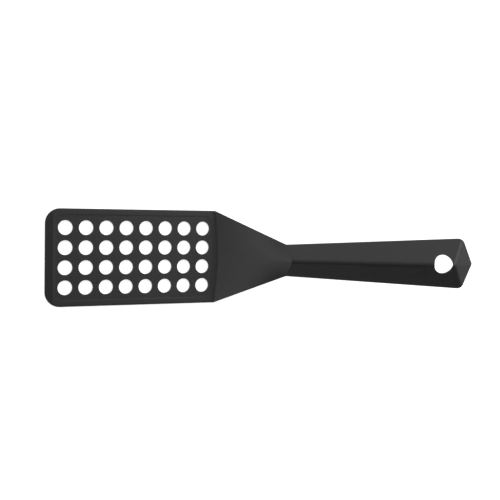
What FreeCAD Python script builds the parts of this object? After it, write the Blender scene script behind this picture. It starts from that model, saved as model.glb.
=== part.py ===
import FreeCAD, Part
import os

import Sketcher

# Grill spatula. X runs along the tool, +X towards the handle. Y runs across it and Z points up.
# The blade lies flat, and the origin is on its underside, below the middle of the perforated field.

SIZES = (
    # the blade
    ("front_reach", 69.1),         # from the middle of the holes to the front edge
    ("heel_reach", 64.2),          # from the middle of the holes to the crease at the shoulder
    ("blade_half", 36.8),          # half the blade's width
    ("blade_thick", 2.2),
    ("front_corner", 11.2),        # radius of the two front corners
    ("bevel_reach", 5.5),          # length of the bevel along the front edge
    ("edge_thick", 0.9),           # what the bevel leaves at the front edge
    ("rim_width", 4.4),            # smooth rim round the grained field
    ("field_depth", 0.2),          # how far the field lies below the rim
    ("field_corner", 6.0),
    ("field_front_gap", 1.0),      # rim between the front bevel and the field
    ("field_heel_gap", 3.0),       # rim between the field and the shoulder
    # the round holes
    ("hole_radius", 5.5),
    ("pitch_along", 15.5),
    ("pitch_across", 15.0),
    ("hole_columns", 8),
    ("hole_rows", 4),
    # the shoulder and the neck
    ("neck_reach", 106.0),         # from the origin to the neck
    ("neck_rise", 46.0),           # height of the handle's lower edge at the neck
    ("neck_half", 12.2),           # half the neck's width
    # the roof-shaped handle, along its own slope from the neck
    ("handle_slope", 20.9),        # degrees above the blade
    ("widening", 0.0543),          # growth of the half width for each millimetre of length
    ("roof_angle", 36.0),          # degrees, each facet against the handle's flat underside
    ("skirt", 2.0),                # upright edge below each facet
    ("corner_reach", 138.2),       # from the neck to the two corners of the end
    ("tip_reach", 146.0),          # from the neck to the point of the end
    ("ridge_reach", 128.2),        # from the neck to the end of the ridge
    ("end_corner", 5.5),           # radius of the two end corners
    ("wall", 2.0),                 # wall of the cover
    # the hang hole, square to the handle's own slope
    ("hang_radius", 7.1),
    ("hang_reach", 120.2),         # from the neck to the hole
    ("run_in", 8.0),               # how far the handle's lofts start before the neck
    ("run_out", 4.0),              # how far they run past the point of the end
    ("overcut", 1.0),              # how far a cut starts beyond what it cuts
    # what lies under the cover
    ("slip", 0.15),                # clearance between the cover and what fits in it
    ("tang_margin", 8.0),          # from the last screw to the end of the tang
    ("tang_reach", "=first_screw + (screw_count - 1) * screw_pitch + tang_margin"),
    ("neck_block", 8.0),           # length of the tang that fills the cover's full depth
    ("back_inset", 0.3),           # how far the back strip sits inside the cover's lower edge
    ("back_thick", 3.1),
    ("web", 1.8),                  # floor of the tang below each boss
    ("core_length", 20.0),         # hollow between two bosses, which saves material
    ("core_half", 3.0),
    ("core_depth", 2.4),
    # the screws and their bosses
    ("boss_radius", 3.2),
    ("first_screw", 22.0),
    ("screw_pitch", 36.0),
    ("screw_count", 3),
    ("thread_radius", 1.5),
    ("shank_clearance", 0.25),
    ("head_radius", 2.8),
    ("head_height", 1.5),
    ("head_clearance", 0.3),
    ("head_inset", 0.2),           # how far the heads lie inside the strip's face
    ("screw_length", 6.6),
    ("drive_width", 0.8),          # width of each arm of the cross recess
    ("drive_span", 3.0),
    ("drive_depth", 0.9),
    # the blank plate on the facet
    ("plate_start", 58.0),
    ("plate_length", 48.0),
    ("plate_width", 11.0),
    ("plate_drop", 3.2),           # from the ridge down the facet to the plate
    ("plate_thick", 0.9),
    ("plate_recess", 0.7),
    ("plate_corner", 1.5),
    ("plate_slip", 0.1),
)

FAR = "400"                        # longer than the whole tool

doc = FreeCAD.newDocument("grill_spatula")
sheet = doc.addObject("Spreadsheet::Sheet", "Sizes")
for row, (alias, value) in enumerate(SIZES, start=1):
    sheet.set(f"A{row}", alias)
    sheet.set(f"B{row}", str(value))
    sheet.setAlias(f"B{row}", alias)
doc.recompute()

# Lengths that several pieces share, as expressions on the sheet.
TILT = "(atan(Sizes.neck_rise / (Sizes.neck_reach - Sizes.heel_reach)) / 2)"
MITRE = f"(Sizes.blade_thick * tan({TILT}))"
RIDGE_AT_NECK = "(Sizes.skirt + Sizes.neck_half * tan(Sizes.roof_angle))"
RIDGE_UP = (
    f"({RIDGE_AT_NECK} / (cos(Sizes.handle_slope)"
    " - Sizes.widening * tan(Sizes.roof_angle) * sin(Sizes.handle_slope)))"
)
LIP_UP = "(Sizes.skirt / cos(Sizes.handle_slope))"
LIP_HALF = "(Sizes.neck_half + Sizes.widening * Sizes.skirt * tan(Sizes.handle_slope))"
BACK_TOP = "(Sizes.back_inset + Sizes.back_thick)"
BOSS_FOOT = f"({BACK_TOP} + Sizes.web)"
HEAD_SEAT = "(Sizes.back_inset + Sizes.head_inset + Sizes.head_height)"
SCREW_TIP = f"({HEAD_SEAT} + Sizes.screw_length)"


def number(expression):
    """The value of an expression on the sheet."""
    value = sheet.evalExpression(expression.replace("Sizes.", ""))
    return float(getattr(value, "Value", value))


def half_at(reach):
    """Half the handle's width at a distance from the neck."""
    return f"(Sizes.neck_half + Sizes.widening * ({reach}))"


def ridge_at(reach):
    """Height of the ridge above the handle's underside at a distance from the neck."""
    return f"(Sizes.skirt + {half_at(reach)} * tan(Sizes.roof_angle))"


def handle_placement():
    """The handle's own frame: X up its slope from the neck, Z away from its underside."""
    start = FreeCAD.Vector(number("Sizes.neck_reach"), 0, number("Sizes.neck_rise"))
    turn = FreeCAD.Rotation(FreeCAD.Vector(0, 1, 0), -number("Sizes.handle_slope"))
    return FreeCAD.Placement(start, turn)


def facet_placement():
    """A frame on the lower facet, at the plate's start: X along the ridge, Z out of the facet."""
    rise = number("tan(Sizes.roof_angle)")
    along = FreeCAD.Vector(1, 0, number("Sizes.widening") * rise).normalize()
    outward = FreeCAD.Vector(-number("Sizes.widening") * rise, -rise, 1).normalize()
    upward = outward.cross(along)
    start = FreeCAD.Vector(number("Sizes.plate_start"), 0, number(ridge_at("Sizes.plate_start")))
    start = start - upward * number("Sizes.plate_drop + Sizes.plate_width")
    turn = FreeCAD.Rotation(along, upward, outward, "XYZ")
    return handle_placement().multiply(FreeCAD.Placement(start, turn))


def new_body(name, placement=None):
    """An empty body with its own label and placement."""
    body = doc.addObject("PartDesign::Body", name)
    body.Label = name
    if placement is not None:
        body.Placement = placement
    return body


def origin_feature(body, role):
    """One of the body's own origin planes or axes."""
    return next(item for item in body.Origin.OriginFeatures if item.Role == role)


def new_sketch(body, name, role, offset=None):
    """A sketch on one of the body's origin planes, moved along its normal."""
    sketch = body.newObject("Sketcher::SketchObject", name)
    sketch.AttachmentSupport = [(origin_feature(body, role), "")]
    sketch.MapMode = "FlatFace"
    if offset is not None:
        sketch.setExpression("AttachmentOffset.Base.z", offset)
    return sketch


def pin_coordinate(sketch, kind, geometry, point, expression):
    """Hold one coordinate of a sketch point at an expression, or on the axis where it is zero."""
    if expression == "0":
        axis = -2 if kind == "DistanceX" else -1
        sketch.addConstraint(Sketcher.Constraint("PointOnObject", geometry, point, axis))
        return
    value = number(expression)
    index = sketch.addConstraint(Sketcher.Constraint(kind, -1, 1, geometry, point, value))
    sketch.setExpression(f"Constraints[{index}]", expression)


def draw_polygon(sketch, points):
    """A closed outline through points whose coordinates are expressions."""
    places = [FreeCAD.Vector(number(x), number(y), 0) for x, y in points]
    lines = []
    for start, end in zip(places, places[1:] + places[:1]):
        lines.append(sketch.addGeometry(Part.LineSegment(start, end), False))
    for line, following in zip(lines, lines[1:] + lines[:1]):
        sketch.addConstraint(Sketcher.Constraint("Coincident", line, 2, following, 1))
    for line, (x, y) in zip(lines, points):
        pin_coordinate(sketch, "DistanceX", line, 1, x)
        pin_coordinate(sketch, "DistanceY", line, 1, y)


def draw_circle(sketch, x, y, radius):
    """A circle whose centre and radius are expressions."""
    centre = FreeCAD.Vector(number(x), number(y), 0)
    circle = sketch.addGeometry(Part.Circle(centre, FreeCAD.Vector(0, 0, 1), number(radius)), False)
    pin_coordinate(sketch, "DistanceX", circle, 3, x)
    pin_coordinate(sketch, "DistanceY", circle, 3, y)
    index = sketch.addConstraint(Sketcher.Constraint("Radius", circle, number(radius)))
    sketch.setExpression(f"Constraints[{index}]", radius)


def mirrored_outline(half):
    """A closed outline from the points of its positive side, listed from the bottom up."""
    left = [(x if x == "0" else f"-{x}", y) for x, y in reversed(half) if x != "0"]
    return list(half) + left


def pad(body, name, sketch, length):
    """A pad along the sketch's normal."""
    feature = body.newObject("PartDesign::Pad", name)
    feature.Profile = sketch
    feature.setExpression("Length", length)
    return feature


def pocket(body, name, sketch, length=None, reverse=False, midplane=False):
    """A pocket of a stated depth, or through everything, that has to take material away."""
    doc.recompute()
    before = body.Shape.Volume
    feature = body.newObject("PartDesign::Pocket", name)
    feature.Profile = sketch
    feature.Reversed = reverse
    feature.Midplane = midplane
    if length is None:
        feature.Type = "ThroughAll"
    else:
        feature.setExpression("Length", length)
    doc.recompute()
    if not body.Shape.Volume < before:
        raise RuntimeError(f"{body.Label}: {name} removes nothing")
    return feature


def loft(body, name, first, second):
    """A straight-sided loft between two sketches."""
    feature = body.newObject("PartDesign::AdditiveLoft", name)
    feature.Profile = first
    feature.Sections = [second]
    feature.Ruled = True
    return feature


def edges_where(shape, test):
    """Names of the edges that pass a test on the edge."""
    return [f"Edge{i}" for i, edge in enumerate(shape.Edges, start=1) if test(edge)]


def round_edges(body, name, radius, test):
    """A fillet on the edges of the body's latest feature that pass a test."""
    doc.recompute()
    base = body.Tip
    names = edges_where(base.Shape, test)
    if not names:
        raise RuntimeError(f"{body.Label}: no edge for {name}")
    feature = body.newObject("PartDesign::Fillet", name)
    feature.Base = (base, names)
    feature.setExpression("Radius", radius)
    doc.recompute()
    return feature


def is_along(edge, direction):
    """Whether a straight edge runs along a direction."""
    if edge.Curve.TypeId != "Part::GeomLine":
        return False
    return abs(edge.Curve.Direction.dot(direction)) > 0.9999


def copies(body, name, feature, role, step, count):
    """Evenly spaced copies of a feature along one of the body's axes."""
    pattern = body.newObject("PartDesign::LinearPattern", name)
    pattern.Originals = [feature]
    pattern.Direction = (origin_feature(body, role), [""])
    pattern.Mode = "Spacing"
    pattern.setExpression("Offset", step)
    pattern.setExpression("Occurrences", count)
    body.Tip = pattern
    doc.recompute()
    return pattern


# ---- head: the perforated blade and the shoulder, and below them the tang that goes into the handle

def make_blade():
    """The flat blade, its bevel, its sunk field and its holes, and the shoulder up to the neck."""
    body = new_body("blade_and_shoulder")
    outline = new_sketch(body, "blade_outline", "XY_Plane")
    heel = f"(Sizes.heel_reach + {MITRE})"
    draw_polygon(outline, [
        ("-Sizes.front_reach", "-Sizes.blade_half"),
        (heel, "-Sizes.blade_half"),
        (heel, "Sizes.blade_half"),
        ("-Sizes.front_reach", "Sizes.blade_half"),
    ])
    pad(body, "blade_plate", outline, "Sizes.blade_thick")
    upright = FreeCAD.Vector(0, 0, 1)
    round_edges(body, "front_corners", "Sizes.front_corner",
                lambda edge: is_along(edge, upright) and edge.CenterOfMass.x < 0)

    heel_section = new_sketch(body, "heel_section", "YZ_Plane", heel)
    heel_section.setExpression("AttachmentOffset.Rotation.Axis.x", "1")
    heel_section.setExpression("AttachmentOffset.Rotation.Axis.z", "0")
    heel_section.setExpression("AttachmentOffset.Rotation.Angle", f"-{TILT}")
    depth = f"(Sizes.blade_thick / cos({TILT}))"
    draw_polygon(heel_section, mirrored_outline([
        ("Sizes.blade_half", "0"), ("Sizes.blade_half", depth), ("0", depth),
    ]))
    neck_section = new_sketch(body, "neck_section", "YZ_Plane", "Sizes.neck_reach")
    draw_polygon(neck_section, mirrored_outline([
        ("Sizes.neck_half", "Sizes.neck_rise"),
        (LIP_HALF, f"(Sizes.neck_rise + {LIP_UP})"),
        ("0", f"(Sizes.neck_rise + {RIDGE_UP})"),
    ]))
    loft(body, "shoulder", heel_section, neck_section)

    field = new_sketch(body, "field_outline", "XY_Plane", "Sizes.blade_thick")
    field_front = "-(Sizes.front_reach - Sizes.bevel_reach - Sizes.field_front_gap)"
    field_heel = "(Sizes.heel_reach - Sizes.field_heel_gap)"
    field_half = "(Sizes.blade_half - Sizes.rim_width)"
    draw_polygon(field, [
        (field_front, f"-{field_half}"), (field_heel, f"-{field_half}"),
        (field_heel, field_half), (field_front, field_half),
    ])
    pocket(body, "grained_field", field, "Sizes.field_depth")
    floor = "(Sizes.blade_thick - Sizes.field_depth)"
    round_edges(body, "field_corners", "Sizes.field_corner",
                lambda edge: is_along(edge, upright) and edge.CenterOfMass.z > number(floor)
                and edge.CenterOfMass.z < number("Sizes.blade_thick"))

    bevel = new_sketch(body, "bevel_profile", "XZ_Plane")
    draw_polygon(bevel, [
        ("-Sizes.front_reach", "Sizes.edge_thick"),
        ("-(Sizes.front_reach - Sizes.bevel_reach)", "Sizes.blade_thick"),
        ("-Sizes.front_reach", "Sizes.blade_thick"),
    ])
    pocket(body, "front_bevel", bevel, midplane=True)

    column = new_sketch(body, "hole_column", "XY_Plane", "Sizes.blade_thick")
    for row in range(int(number("Sizes.hole_rows"))):
        place = f"((Sizes.hole_rows - 1) / 2 - {row})"
        draw_circle(column, "-((Sizes.hole_columns - 1) / 2 * Sizes.pitch_along)",
                    f"({place} * Sizes.pitch_across)", "Sizes.hole_radius")
    first = pocket(body, "first_column", column, "Sizes.blade_thick * 2")
    copies(body, "hole_grid", first, "X_Axis", "Sizes.pitch_along", "Sizes.hole_columns")
    return body


def fill_half(slip, bottom, reach):
    """The positive side of what fits under the cover, above a level, at a distance from the neck."""
    inset = f"(Sizes.wall + {slip})"
    side = f"({half_at(reach)} - {inset})"
    knee = f"(Sizes.skirt - {inset} * (1 - sin(Sizes.roof_angle)) / cos(Sizes.roof_angle))"
    peak = f"({ridge_at(reach)} - {inset} / cos(Sizes.roof_angle))"
    return [(side, bottom), (side, knee), ("0", peak)]


def screw_reach(index):
    """Distance of a screw from the neck."""
    return f"(Sizes.first_screw + {index} * Sizes.screw_pitch)"


def make_tang():
    """The tang: the cover's inside shape, with wells for the bosses and hollows between them."""
    body = new_body("tang", handle_placement())
    start = new_sketch(body, "tang_start", "YZ_Plane", "-Sizes.run_in")
    draw_polygon(start, mirrored_outline(fill_half("Sizes.slip", "0", "-Sizes.run_in")))
    end = new_sketch(body, "tang_end", "YZ_Plane", "Sizes.tang_reach")
    draw_polygon(end, mirrored_outline(fill_half("Sizes.slip", "0", "Sizes.tang_reach")))
    loft(body, "tang_bar", start, end)

    below = new_sketch(body, "strip_space", "XZ_Plane")
    draw_polygon(below, [
        ("Sizes.neck_block", "0"), ("(Sizes.tang_reach + Sizes.overcut)", "0"),
        ("(Sizes.tang_reach + Sizes.overcut)", BACK_TOP), ("Sizes.neck_block", BACK_TOP),
    ])
    pocket(body, "strip_seat", below, midplane=True)

    well = new_sketch(body, "well_outline", "XY_Plane", BOSS_FOOT)
    draw_circle(well, "Sizes.first_screw", "0", "(Sizes.boss_radius + Sizes.slip)")
    first_well = pocket(body, "first_well", well, reverse=True)
    copies(body, "boss_wells", first_well, "X_Axis", "Sizes.screw_pitch", "Sizes.screw_count")

    shank = new_sketch(body, "shank_outline", "XY_Plane", BACK_TOP)
    draw_circle(shank, "Sizes.first_screw", "0", "(Sizes.thread_radius + Sizes.shank_clearance)")
    first_shank = pocket(body, "first_shank_hole", shank, reverse=True)
    copies(body, "shank_holes", first_shank, "X_Axis", "Sizes.screw_pitch", "Sizes.screw_count")

    core = new_sketch(body, "core_outline", "XY_Plane", BACK_TOP)
    middle = "(Sizes.first_screw + Sizes.screw_pitch / 2)"
    draw_polygon(core, [
        (f"({middle} - Sizes.core_length / 2)", "-Sizes.core_half"),
        (f"({middle} + Sizes.core_length / 2)", "-Sizes.core_half"),
        (f"({middle} + Sizes.core_length / 2)", "Sizes.core_half"),
        (f"({middle} - Sizes.core_length / 2)", "Sizes.core_half"),
    ])
    first_core = pocket(body, "first_core", core, "Sizes.core_depth", reverse=True)
    copies(body, "cores", first_core, "X_Axis", "Sizes.screw_pitch", "(Sizes.screw_count - 1)")
    return body


# ---- handle cover: a thin roof with a hipped, pointed end

def hip_cut(body):
    """The sloping facet from one corner of the end to its point and up to the end of the ridge."""
    turn = f"atan((Sizes.tip_reach - Sizes.corner_reach) / {half_at('Sizes.corner_reach')})"
    inward = f"((Sizes.tip_reach - Sizes.ridge_reach) * cos({turn}))"
    slope = f"(({ridge_at('Sizes.ridge_reach')} - Sizes.skirt) / {inward})"
    sketch = body.newObject("Sketcher::SketchObject", "hip_profile")
    sketch.AttachmentSupport = [(origin_feature(body, "XZ_Plane"), "")]
    sketch.MapMode = "FlatFace"
    sketch.setExpression("AttachmentOffset.Base.x", "Sizes.tip_reach")
    sketch.setExpression("AttachmentOffset.Rotation.Axis.x", "0")
    sketch.setExpression("AttachmentOffset.Rotation.Axis.y", "1")
    sketch.setExpression("AttachmentOffset.Rotation.Axis.z", "0")
    sketch.setExpression("AttachmentOffset.Rotation.Angle", turn)
    reach = "(2 * Sizes.tip_reach - 2 * Sizes.ridge_reach)"
    draw_polygon(sketch, [
        ("Sizes.overcut", f"(Sizes.skirt - Sizes.overcut * {slope})"),
        ("Sizes.overcut", f"(Sizes.skirt + {reach} * {slope})"),
        (f"-{reach}", f"(Sizes.skirt + {reach} * {slope})"),
    ])
    return pocket(body, "hip", sketch, midplane=True)


def make_cover_shell():
    """The cover before the neck trims it: outer roof, pointed end, hollow underside and bosses."""
    body = new_body("cover_shell", handle_placement())
    run_out = "(Sizes.tip_reach + Sizes.run_out)"
    sections = []
    for name, reach in (("cover_start", "-Sizes.run_in"), ("cover_end", run_out)):
        sketch = new_sketch(body, name, "YZ_Plane", reach)
        draw_polygon(sketch, mirrored_outline([
            (half_at(reach), "0"), (half_at(reach), "Sizes.skirt"), ("0", ridge_at(reach)),
        ]))
        sections.append(sketch)
    loft(body, "roof", *sections)

    plan = new_sketch(body, "end_plan", "XY_Plane")
    corner_half = half_at("Sizes.corner_reach")
    draw_polygon(plan, [
        ("Sizes.corner_reach", corner_half),
        ("Sizes.tip_reach", "0"),
        ("Sizes.corner_reach", f"-{corner_half}"),
        ("Sizes.corner_reach", f"-(2 * {corner_half})"),
        ("(2 * Sizes.tip_reach)", f"-(2 * {corner_half})"),
        ("(2 * Sizes.tip_reach)", f"(2 * {corner_half})"),
        ("Sizes.corner_reach", f"(2 * {corner_half})"),
    ])
    pocket(body, "pointed_end", plan, reverse=True)
    upright = FreeCAD.Vector(0, 0, 1)
    round_edges(body, "end_corners", "Sizes.end_corner",
                lambda edge: is_along(edge, upright) and edge.CenterOfMass.x > 0
                and abs(edge.CenterOfMass.y) > 1)
    hip = hip_cut(body)
    mirror = body.newObject("PartDesign::Mirrored", "other_hip")
    mirror.Originals = [hip]
    mirror.MirrorPlane = (origin_feature(body, "XZ_Plane"), [""])
    body.Tip = mirror
    doc.recompute()

    base = body.Tip
    start = -number("Sizes.run_in")
    open_faces = [
        f"Face{i}" for i, face in enumerate(base.Shape.Faces, start=1)
        if abs(face.CenterOfMass.z) < 1e-6 or abs(face.CenterOfMass.x - start) < 1e-6
    ]
    shell = body.newObject("PartDesign::Thickness", "hollow")
    shell.Base = (base, open_faces)
    shell.setExpression("Value", "Sizes.wall")
    shell.Join = 1
    shell.Reversed = True
    doc.recompute()

    for index in range(int(number("Sizes.screw_count"))):
        reach = screw_reach(index)
        foot = new_sketch(body, f"boss_foot_{index + 1}", "XY_Plane", BOSS_FOOT)
        draw_circle(foot, reach, "0", "Sizes.boss_radius")
        roof_inside = f"({ridge_at(reach)} - Sizes.wall / cos(Sizes.roof_angle))"
        pad(body, f"boss_{index + 1}", foot, f"({roof_inside} - {BOSS_FOOT})")
    pilot = new_sketch(body, "pilot_outline", "XY_Plane", BOSS_FOOT)
    draw_circle(pilot, "Sizes.first_screw", "0", "Sizes.thread_radius")
    first_pilot = pocket(body, "first_pilot", pilot, f"({SCREW_TIP} - {BOSS_FOOT})", reverse=True)
    copies(body, "pilot_holes", first_pilot, "X_Axis", "Sizes.screw_pitch", "Sizes.screw_count")
    return body


def make_plate(name, slip, thickness):
    """A plate with rounded corners on the floor of the facet's recess."""
    body = new_body(name, facet_placement())
    outline = new_sketch(body, f"{name}_outline", "XY_Plane", "-Sizes.plate_recess")
    draw_polygon(outline, [
        (slip, slip),
        (f"(Sizes.plate_length - {slip})", slip),
        (f"(Sizes.plate_length - {slip})", f"(Sizes.plate_width - {slip})"),
        (slip, f"(Sizes.plate_width - {slip})"),
    ])
    pad(body, f"{name}_pad", outline, thickness)
    upright = FreeCAD.Vector(0, 0, 1)
    round_edges(body, f"{name}_corners", f"(Sizes.plate_corner - {slip})",
                lambda edge: is_along(edge, upright))
    return body


# ---- back strip and screws

def make_back_strip():
    """The strip that closes the handle's underside, with a sunk seat for each screw head."""
    body = new_body("handle_back", handle_placement())
    sections = []
    ends = (("strip_start", "(Sizes.neck_block + Sizes.slip)"), ("strip_end", "Sizes.tang_reach"))
    for name, reach in ends:
        side, knee = fill_half("Sizes.slip", "Sizes.back_inset", reach)[:2]
        peak = fill_half("Sizes.slip", "0", reach)[2][1]
        top_half = f"(({peak} - {BACK_TOP}) / tan(Sizes.roof_angle))"
        sketch = new_sketch(body, name, "YZ_Plane", reach)
        draw_polygon(sketch, mirrored_outline([side, knee, (top_half, BACK_TOP)]))
        sections.append(sketch)
    loft(body, "strip_bar", *sections)

    seat = new_sketch(body, "seat_outline", "XY_Plane", HEAD_SEAT)
    draw_circle(seat, "Sizes.first_screw", "0", "(Sizes.head_radius + Sizes.head_clearance)")
    first_seat = pocket(body, "first_seat", seat)
    copies(body, "head_seats", first_seat, "X_Axis", "Sizes.screw_pitch", "Sizes.screw_count")

    shank = new_sketch(body, "strip_shank_outline", "XY_Plane", HEAD_SEAT)
    draw_circle(shank, "Sizes.first_screw", "0", "(Sizes.thread_radius + Sizes.shank_clearance)")
    first_shank = pocket(body, "first_strip_hole", shank, reverse=True)
    copies(body, "strip_holes", first_shank, "X_Axis", "Sizes.screw_pitch", "Sizes.screw_count")
    return body


def make_screw(index):
    """One self-tapping screw, head down in its seat, with a cross recess."""
    body = new_body(f"handle_screw_{index + 1}", handle_placement())
    reach = screw_reach(index)
    head = new_sketch(body, f"head_outline_{index + 1}", "XY_Plane", HEAD_SEAT)
    draw_circle(head, reach, "0", "Sizes.head_radius")
    pad(body, f"head_{index + 1}", head, "Sizes.head_height").Reversed = True
    shank = new_sketch(body, f"thread_outline_{index + 1}", "XY_Plane", HEAD_SEAT)
    draw_circle(shank, reach, "0", "Sizes.thread_radius")
    pad(body, f"thread_{index + 1}", shank, "Sizes.screw_length")
    arms = (("x", "drive_span", "drive_width"), ("y", "drive_width", "drive_span"))
    for axis, along, across in arms:
        head_face = f"({HEAD_SEAT} - Sizes.head_height)"
        arm = new_sketch(body, f"arm_{axis}_{index + 1}", "XY_Plane", head_face)
        draw_polygon(arm, [
            (f"({reach} - Sizes.{along} / 2)", f"-(Sizes.{across} / 2)"),
            (f"({reach} + Sizes.{along} / 2)", f"-(Sizes.{across} / 2)"),
            (f"({reach} + Sizes.{along} / 2)", f"(Sizes.{across} / 2)"),
            (f"({reach} - Sizes.{along} / 2)", f"(Sizes.{across} / 2)"),
        ])
        pocket(body, f"drive_{axis}_{index + 1}", arm, "Sizes.drive_depth", reverse=True)
    return body


# ---- the finished sub-parts

def boolean(kind, name, base, tool):
    """A cut, fuse or common of two objects."""
    result = doc.addObject(kind, name)
    result.Label = name
    result.Base = base
    result.Tool = tool
    return result


def make_neck_side():
    """The space beyond the neck, which trims the handle's pieces to one upright plane."""
    space = doc.addObject("Part::Box", "beyond_neck")
    space.setExpression("Length", FAR)
    space.setExpression("Width", FAR)
    space.setExpression("Height", FAR)
    space.setExpression("Placement.Base.x", "Sizes.neck_reach")
    space.setExpression("Placement.Base.y", f"-{FAR} / 2")
    return space


def make_hang_bore():
    """The cylinder that the hang hole is cut with."""
    bore = doc.addObject("Part::Cylinder", "hang_bore")
    bore.setExpression("Radius", "Sizes.hang_radius")
    bore.setExpression("Height", FAR)
    along = FreeCAD.Vector(number("Sizes.hang_reach"), 0, 0)
    bore.Placement = handle_placement() * FreeCAD.Placement(along, FreeCAD.Rotation())
    return bore


def make_parts():
    """Every sub-part of the spatula, as a list of document objects whose labels name them."""
    neck_side = make_neck_side()
    tang = boolean("Part::Common", "trimmed_tang", make_tang(), neck_side)
    head = boolean("Part::Fuse", "head", make_blade(), tang)
    trimmed = boolean("Part::Common", "trimmed_cover", make_cover_shell(), neck_side)
    drilled = boolean("Part::Cut", "drilled_cover", trimmed, make_hang_bore())
    recess = make_plate("plate_recess", "0", "(Sizes.plate_recess + Sizes.plate_thick)")
    cover = boolean("Part::Cut", "handle_cover", drilled, recess)
    strip = make_back_strip()
    screws = doc.addObject("Part::Compound", "handle_screws")
    screws.Links = [make_screw(index) for index in range(int(number("Sizes.screw_count")))]
    badge = make_plate("badge", "Sizes.plate_slip", "Sizes.plate_thick")
    return [head, cover, strip, screws, badge]


def check_document():
    """Stop if any object of the document has failed."""
    for item in doc.Objects:
        if "Invalid" in item.State or "Error" in item.State:
            raise RuntimeError(f"{item.Name} has failed: {item.State}")


def write_parts(parts):
    """Write each sub-part's shape under its own name, after all of them have been checked."""
    for part in parts:
        if part.Shape.isNull() or not part.Shape.isValid():
            raise RuntimeError(f"{part.Label} has no valid shape")
    os.makedirs("parts", exist_ok=True)
    for part in parts:
        part.Shape.exportStep(f"parts/{part.Label}.step")
        box = part.Shape.BoundBox
        print(f"{part.Label}: {len(part.Shape.Solids)} solid(s), {part.Shape.Volume:.0f} mm3, "
              f"{box.XLength:.1f} x {box.YLength:.1f} x {box.ZLength:.1f} mm")


finished = make_parts()
doc.recompute()
check_document()
write_parts(finished)
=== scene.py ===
"""Looks of a black nylon grill spatula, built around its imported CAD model."""

import logging
import math
from collections.abc import Sequence
from dataclasses import dataclass
from enum import Enum

import bmesh
import bpy
from bpy.types import Material, Mesh, Node, NodeSocket, NodeTree, Object, World
from mathutils import Matrix, Vector


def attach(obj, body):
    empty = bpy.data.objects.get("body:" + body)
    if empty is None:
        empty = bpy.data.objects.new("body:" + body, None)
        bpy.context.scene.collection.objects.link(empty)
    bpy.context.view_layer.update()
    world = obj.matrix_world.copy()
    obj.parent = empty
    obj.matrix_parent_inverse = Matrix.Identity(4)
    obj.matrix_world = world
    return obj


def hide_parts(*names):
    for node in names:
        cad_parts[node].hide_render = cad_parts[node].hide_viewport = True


log = logging.getLogger("spatula")

MM = 0.001
BODY = "root"
WELD = 1e-7  # metres, nearer corners of a new mesh are one
CAD_WELD = 1e-6  # metres, nearer corners of a CAD mesh are one
FLAT_ANGLE = math.radians(1.0)  # CAD faces flatter than this to each other are one
SENSOR_MM = 36.0
CUTTER_LOW = -20.0  # millimetres, below and above all that a cutter cuts
CUTTER_HIGH = 120.0
CUTTER_REACH = 60.0  # millimetres, how far a cutter runs past what it cuts
Point = tuple[float, float, float]

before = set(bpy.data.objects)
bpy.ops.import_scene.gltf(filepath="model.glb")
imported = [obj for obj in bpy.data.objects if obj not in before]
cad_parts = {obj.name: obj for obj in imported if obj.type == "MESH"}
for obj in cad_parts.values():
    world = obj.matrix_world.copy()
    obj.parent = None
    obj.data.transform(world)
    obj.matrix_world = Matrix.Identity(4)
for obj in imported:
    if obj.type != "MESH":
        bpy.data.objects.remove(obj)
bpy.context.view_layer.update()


# ---- Small helpers

def linear(hex_colour: str) -> tuple[float, float, float, float]:
    """Turn an sRGB hex colour into linear RGBA.

    Args:
        hex_colour: Six hex digits, with or without a leading hash.

    Returns:
        The colour as Blender's sockets take it.
    """
    digits = hex_colour.lstrip("#")
    channels = (int(digits[i:i + 2], 16) / 255 for i in (0, 2, 4))
    r, g, b = (c / 12.92 if c <= 0.04045 else ((c + 0.055) / 1.055) ** 2.4 for c in channels)
    return r, g, b, 1.0


def add_node(tree: NodeTree, kind: str, settings: dict | None = None,
             inputs: dict | None = None) -> Node:
    """Add a node with its settings, values and links.

    Args:
        tree: The tree that the node goes in.
        kind: The node's type name.
        settings: Attributes to set on the node.
        inputs: Socket name or number to a value, or to an output socket to link from.

    Returns:
        The new node.
    """
    node = tree.nodes.new(kind)
    for name, value in (settings or {}).items():
        setattr(node, name, value)
    for key, value in (inputs or {}).items():
        if isinstance(value, NodeSocket):
            tree.links.new(value, node.inputs[key])
        else:
            node.inputs[key].default_value = value
    return node


def new_object(name: str, mesh: Mesh) -> Object:
    """Link a mesh into the scene as an object at the origin.

    Args:
        name: The piece's name.
        mesh: Its mesh, already in place.

    Returns:
        The new object.
    """
    piece = bpy.data.objects.new(name, mesh)
    bpy.context.scene.collection.objects.link(piece)
    return piece


def mesh_from(name: str, points: Sequence[Sequence[float]],
              faces: Sequence[Sequence[int]], place: Matrix | None = None) -> Mesh:
    """Make a mesh from points in millimetres.

    Args:
        name: The mesh's name.
        points: Corner points, in millimetres.
        faces: Indices of each face's corners.
        place: Where the piece's own frame lies in the tool's frame, in millimetres.

    Returns:
        The mesh in metres, in the tool's frame, with its faces pointing outwards.
    """
    mesh = bpy.data.meshes.new(name)
    placed = [(place @ Vector(p) if place else Vector(p)) * MM for p in points]
    mesh.from_pydata(placed, [], faces)
    shape = bmesh.new()
    shape.from_mesh(mesh)
    bmesh.ops.remove_doubles(shape, verts=shape.verts, dist=WELD)
    bmesh.ops.recalc_face_normals(shape, faces=shape.faces)
    shape.to_mesh(mesh)
    shape.free()
    return mesh


def bake_modifiers(piece: Object) -> None:
    """Turn a piece's modifiers into its mesh and remove them.

    Args:
        piece: The object to finish.
    """
    bpy.context.view_layer.update()
    graph = bpy.context.evaluated_depsgraph_get()
    mesh = bpy.data.meshes.new_from_object(piece.evaluated_get(graph))
    old = piece.data
    piece.modifiers.clear()
    piece.data = mesh
    bpy.data.meshes.remove(old)


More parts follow.
